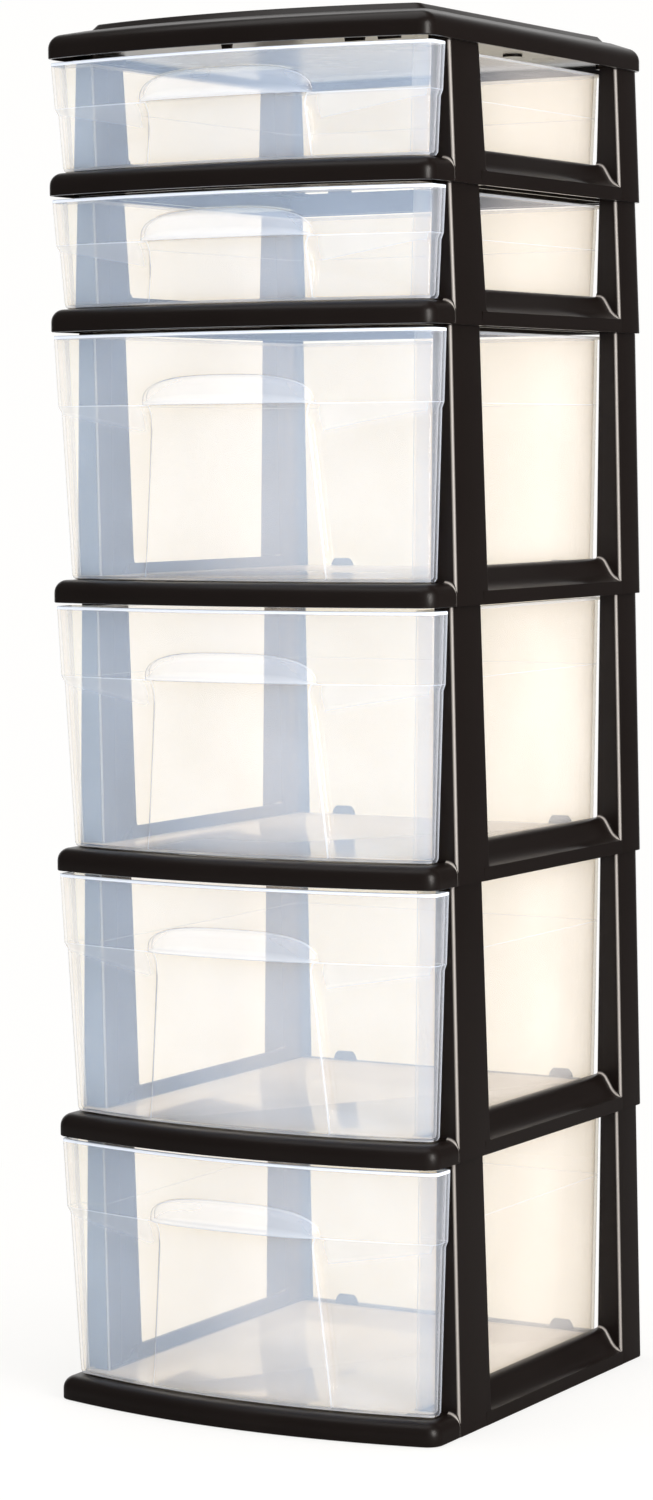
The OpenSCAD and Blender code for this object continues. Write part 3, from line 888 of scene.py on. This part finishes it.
    def flank_end(self, inner, q, x, z):
        """Where the flank of a row of the pad or the handle ends."""
        end = self.a + self.HANDLE_FLANK
        if inner in ("pad", "fillet", "under"):
            end = mix(self.pad_x(z) + self.PAD_FLANK, end, q if inner == "under" else 0.0)
        return max(end, x + 0.002)

    def rows(self):
        """Rows from the foot to the top, each from the middle of the front round to the middle of the back."""
        rows = []
        for kind, k, inner, q in FACE_ROWS:
            row = [self.within(kind, k, inner, q, x0, rise) for x0, rise in zip(self.xs, self.rises)]
            x_last, y_last, z_last = row[-1]
            x_base = self.flank_end(inner, q, x_last, z_last)
            y_base, z_base = self.beside(kind, k, x_base)
            row += [(mix(x_last, x_base, fx), mix(y_last, y_base, fy), mix(z_last, z_base, fx))
                    for fx, fy in FLANK[1:]]
            _, z_end = self.beside(kind, k, self.PANEL_END)
            rule = self.outline(z_end)
            for j in range(1, self.OUTSIDE + 1):
                x = mix(x_base, rule.reach, j / self.OUTSIDE)
                y, z = self.beside(kind, k, x)
                row.append((x, y, z) if j < self.OUTSIDE else (x, rule.y(x), z))
            rows.append(row + self.side(z_end))
        start, end = rows[-1][-1][2], self.top - 0.0032
        return rows + [self.plain_row(mix(start, end, 0.5)), self.plain_row(end)]

    def plain_row(self, z, move=0.0, flange=0.0):
        """A row at one height, clear of the handle and the pad."""
        keep = self.i
        self.i = keep + move
        rule = self.outline(z)
        x_base = self.a + self.HANDLE_FLANK
        xs = self.xs + [mix(self.xs[-1], x_base, fx) for fx, _ in FLANK[1:]]
        xs += [mix(x_base, rule.reach, j / self.OUTSIDE) for j in range(1, self.OUTSIDE + 1)]
        row = [(x, rule.y(x), z) for x in xs] + self.side(z, flange)
        self.i = keep
        return row

    def side(self, z, flange=0.0):
        """Corner, return, step and tub of one side, to the middle of the back."""
        i = self.i
        rule = self.outline(z)
        taper = self.s.tub_taper * ((self.top - z) / (self.top - self.low))
        tub = self.s.tub_half - taper - i + flange
        back = BACK_Y - self.f.rail_width - self.TUB_GAP - taper - i + flange
        ret = self.return_y - i
        r_out, r_in = (0.0016, 0.0006) if i < 0.001 else (0.0006, 0.0016)
        r_back = self.BACK_ROUND - max(i, 0) * 0.7
        points = rule.corner(7)[1:]
        points.append((rule.half, mix(rule.corner_y + rule.r, ret - r_out, 0.5)))
        points += arc(rule.half - r_out, ret - r_out, r_out, 0, 90, 3)
        points.append((mix(rule.half, tub, 0.5), ret))
        points += arc(tub + r_in, ret + r_in, r_in, 270, 180, 3)
        points += [(tub, mix(ret, back, 0.33)), (tub, mix(ret, back, 0.66))]
        points += arc(tub - r_back, back - r_back, r_back, 0, 90, 6)
        points += [(tub * 0.5, back), (0.0, back)]
        return [(x, y, z) for x, y in points]


def build_drawer(name, small):
    """A drawer as one shell: bowed front, crease, arched handle over a pad, side panels, tub and flange."""
    s = bpy.context.scene.tower_drawer
    low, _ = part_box("frame_" + name)
    height = SMALL_HEIGHT if small else LARGE_HEIGHT
    outer = DrawerForm(low.z, height, small, 0.0)
    inner = DrawerForm(low.z, height, small, s.wall)
    outside, inside = outer.rows(), inner.rows()
    top = outer.top
    foot = [outer.plain_row(outer.low, move=0.0028), outer.plain_row(outer.low + 0.0008, move=0.0009)]
    rim = [outer.plain_row(top - 0.0022), outer.plain_row(top - 0.0021, flange=s.flange),
           outer.plain_row(top - 0.0004, flange=s.flange), outer.plain_row(top, 0.0004, s.flange - 0.0002)]
    lip = [inner.plain_row(top, -0.0004), inner.plain_row(top - 0.0004)]
    floor = [inner.plain_row(inner.foot + 0.0006, 0.0006), inner.plain_row(inner.foot, 0.0024)]
    rows = foot + outside + rim + lip + inside[:0:-1] + floor

    kinds = [row[:2] for row in FACE_ROWS]
    first = len(foot)
    crease_row, ledge_row = first + kinds.index(("ledge", 0.0)), first + kinds.index(("ledge", 1.0))
    rim_row = first + len(outside) + 1
    handle = DrawerForm.INSIDE
    bow_end = handle + len(FLANK) - 1 + DrawerForm.OUTSIDE
    pad_edge, return_edge, step_face, tub_edge, back = (
        range(a, b) for a, b in ((handle + 1, handle + 4), (bow_end + 8, bow_end + 11), (bow_end + 11, bow_end + 14),
                                 (bow_end + 14, bow_end + 16), (bow_end + 18, bow_end + 21)))

    def highlight_share(i, column):
        """Painted highlight on the edges, the crease, the handle and the corners."""
        if rim_row <= i <= rim_row + 4:
            return 1.0 if column < return_edge[-1] else 0.25
        if i < first and column <= bow_end + 4:
            return 0.5
        if column in return_edge:
            return 0.35
        if column in tub_edge:
            return 0.25
        if i == crease_row and column > handle:
            return 0.5
        if ledge_row <= i < crease_row and handle + 6 <= column <= bow_end:
            return 0.14
        if first <= i < crease_row and column in pad_edge:
            return PAD_HIGHLIGHT[column - pad_edge[0]]
        if column <= handle and i - crease_row in range(len(HANDLE_HIGHLIGHT)):
            return HANDLE_HIGHLIGHT[i - crease_row]
        return 0.0

    def thin_share(i, column):
        """Clearness of the face between the front and the tub, which is seen edge on."""
        return 1.0 if column in step_face and i < rim_row else 0.0

    def floor_and_back_glow_share(i, column):
        """Milkiness of the floor, and a little of the floor's pale colour on the back as a painted glow of light from
        behind.
        """
        if i in (0, len(rows) - 1):
            return 1.0
        if column < back[0]:
            return 0.0
        return 0.14 if column in back else 0.07

    half = len(outside[0])

    def mirrored_share(share_of):
        return lambda i, j: share_of(i, min(j, 2 * (half - 1) - j))

    mould = Moulding()
    mould.skin([row + mirrored(row[1:-1]) for row in rows], around=True, rim=mirrored_share(highlight_share),
               thin=mirrored_share(thin_share), floor=mirrored_share(floor_and_back_glow_share))
    mould.finish("tub_" + name, clear_plastic(), "drawer_" + name + "_body", "drawer_" + name,
                 sharp=32.0)


# ---------- stage ----------


WHITE = (1.0, 0.995, 0.985, 1.0)

# The way from the camera towards the backdrop, which gloss shows as white
WHITE_SIDE = (-0.50, 0.86, 0.08)


def area_light(name, spot, target, width, height, power, colour):
    """A soft rectangular light that faces target."""
    data = bpy.data.lights.new(name, "AREA")
    data.shape = "RECTANGLE"
    data.size, data.size_y = width, height
    data.energy = power
    data.color = colour
    obj = add_object(name, data)
    obj.location = spot
    obj.rotation_euler = (Vector(target) - Vector(spot)).to_track_quat("-Z", "Y").to_euler()


def rays(tree):
    """The kinds of ray, and whether one is seen straight or through clear plastic."""
    ray = tree.nodes.new("ShaderNodeLightPath").outputs
    return ray, maths(tree, "MAXIMUM", ray["Is Camera Ray"], ray["Is Transmission Ray"])


def build_world():
    """White around the object, dimmer as light and in the gloss of what faces the front."""
    world = bpy.data.worlds.new("studio")
    bpy.context.scene.world = world
    world.use_nodes = True
    t = world.node_tree
    ray, seen = rays(t)
    around = maths(t, "SUBTRACT", 1.0, maths(t, "MAXIMUM", seen, ray["Is Glossy Ray"]))
    spot = t.nodes.new("ShaderNodeTexCoord").outputs["Generated"]
    ahead = place(t, "ShaderNodeVectorMath", {0: spot, 1: WHITE_SIDE}, operation="DOT_PRODUCT").outputs["Value"]
    gloss = maths(t, "MULTIPLY", ray["Is Glossy Ray"], eased(t, ahead, 0.74, 0.93, 0.06, 1.0))
    lit = maths(t, "MULTIPLY", around, bpy.context.scene.tower_stage.ambient)
    fill(t, t.nodes["Background"], {
        "Color": WHITE, "Strength": maths(t, "ADD", maths(t, "MAXIMUM", gloss, seen), lit)})


def build_floor():
    """A wide pale floor that keeps the object's shadow and fades into the background."""
    bm = bmesh.new()
    loops = [[bm.verts.new((x, y, 0)) for x, y in arc(0, 0, r, 0, 352.5, 47)] for r in (0.5, 1.0, 1.7, 2.4)]
    bm.faces.new(loops[0])
    for a, b in zip(loops, loops[1:]):
        for k in range(len(a)):
            n = (k + 1) % len(a)
            bm.faces.new((a[k], b[k], b[n], a[n]))
    mesh = bpy.data.meshes.new("floor")
    bm.to_mesh(mesh)
    bm.free()
    floor = add_object("floor", mesh)
    floor.location.z = -0.0005

    material, t, paper = new_material("floor paper")
    ray, seen = rays(t)
    tone = dimmed(t, (0.75, 0.745, 0.735), maths(t, "MULTIPLY_ADD", ray["Is Glossy Ray"], -0.85, 1.0))
    fill(t, paper, {"Base Color": tone, "Roughness": 0.9, "Specular IOR Level": 0.0})
    white = place(t, "ShaderNodeEmission", {"Color": WHITE})
    spot = t.nodes.new("ShaderNodeTexCoord").outputs["Object"]
    away = place(t, "ShaderNodeVectorMath", {0: spot}, operation="LENGTH").outputs["Value"]
    fade = maths(t, "MULTIPLY", seen, eased(t, away, 0.25, 0.95, 0.72, 1.0))
    faded = place(t, "ShaderNodeMixShader", {0: fade, 1: paper.outputs[0], 2: white.outputs[0]})
    t.links.new(faded.outputs[0], t.nodes["Material Output"].inputs["Surface"])
    mesh.materials.append(material)


def build_camera():
    """A long lens from the front right, a little above the middle of the tower."""
    yaw, pitch, roll = radians(30.12), radians(4.24), radians(-0.38)
    right = Vector((cos(yaw), sin(yaw), 0))
    ahead = Vector((-sin(yaw) * cos(pitch), cos(yaw) * cos(pitch), -sin(pitch)))
    up = right.cross(ahead)
    across = cos(roll) * right + sin(roll) * up
    upward = -sin(roll) * right + cos(roll) * up
    data = bpy.data.cameras.new("camera")
    data.sensor_fit = "VERTICAL"
    data.sensor_height = 36.0
    data.lens = 36.0 * 4022 / 1500
    data.clip_end = 100.0
    camera = add_object("camera", data)
    turn = Matrix((across, upward, -ahead)).transposed().to_4x4()
    camera.matrix_world = Matrix.Translation((1.440, -2.513, 0.675)) @ turn
    bpy.context.scene.camera = camera


# ---------- operators ----------


class TOWER_OT_lid(bpy.types.Operator):
    """Build the lid"""

    bl_idname = "tower.lid"
    bl_label = "Lid"

    def execute(self, context):
        build_lid()
        return {"FINISHED"}


class TOWER_OT_layers(bpy.types.Operator):
    """Build the six frame layers"""

    bl_idname = "tower.layers"
    bl_label = "Frame Layers"

    def execute(self, context):
        for name in LAYERS:
            build_layer(name)
        return {"FINISHED"}


class TOWER_OT_drawers(bpy.types.Operator):
    """Build the six clear drawers"""

    bl_idname = "tower.drawers"
    bl_label = "Drawers"

    def execute(self, context):
        for name in LAYERS:
            build_drawer(name, name in SMALL)
        return {"FINISHED"}


class TOWER_OT_stage(bpy.types.Operator):
    """Set up the floor, the lights and the camera"""

    bl_idname = "tower.stage"
    bl_label = "Stage"

    def execute(self, context):
        scene = context.scene
        st = scene.tower_stage
        scene.view_settings.view_transform = "Standard"
        build_world()
        build_floor()
        area_light("side light", (2.3, -0.9, 0.95), (0, 0, 0.5), 0.9, 1.7, st.key, (1.0, 0.96, 0.92))
        area_light("top light", (-0.2, -0.3, 2.9), (0, 0, 0.4), 2.2, 2.2, st.top, (1.0, 0.99, 0.98))
        build_camera()
        return {"FINISHED"}


class TOWER_PT_panel(bpy.types.Panel):
    """Lists the steps that build the tower"""

    bl_idname = "TOWER_PT_panel"
    bl_label = "Drawer Tower"
    bl_space_type = "VIEW_3D"
    bl_region_type = "UI"
    bl_category = "Drawer Tower"

    def draw(self, context):
        column = self.layout.column()
        for step in STEPS:
            column.operator(step.bl_idname)
        for key, group in GROUPS.items():
            box = self.layout.box()
            box.label(text=group.__doc__.rstrip("."))
            for name in group.__annotations__:
                box.prop(getattr(context.scene, key), name)


GROUPS = {
    "tower_frame": FrameSizes,
    "tower_lid": LidSizes,
    "tower_drawer": DrawerSizes,
    "tower_finishes": Finishes,
    "tower_stage": StageSettings,
}
STEPS = (TOWER_OT_lid, TOWER_OT_layers, TOWER_OT_drawers, TOWER_OT_stage)
CLASSES = (*GROUPS.values(), *STEPS, TOWER_PT_panel)


def register():
    for cls in CLASSES:
        bpy.utils.register_class(cls)
    for name, group in GROUPS.items():
        setattr(bpy.types.Scene, name, PointerProperty(type=group))


def unregister():
    for name in GROUPS:
        delattr(bpy.types.Scene, name)
    for cls in reversed(CLASSES):
        bpy.utils.unregister_class(cls)


def main():
    register()
    bpy.ops.tower.lid()
    bpy.ops.tower.layers()
    bpy.ops.tower.drawers()
    bpy.ops.tower.stage()


if __name__ == "__main__":
    main()
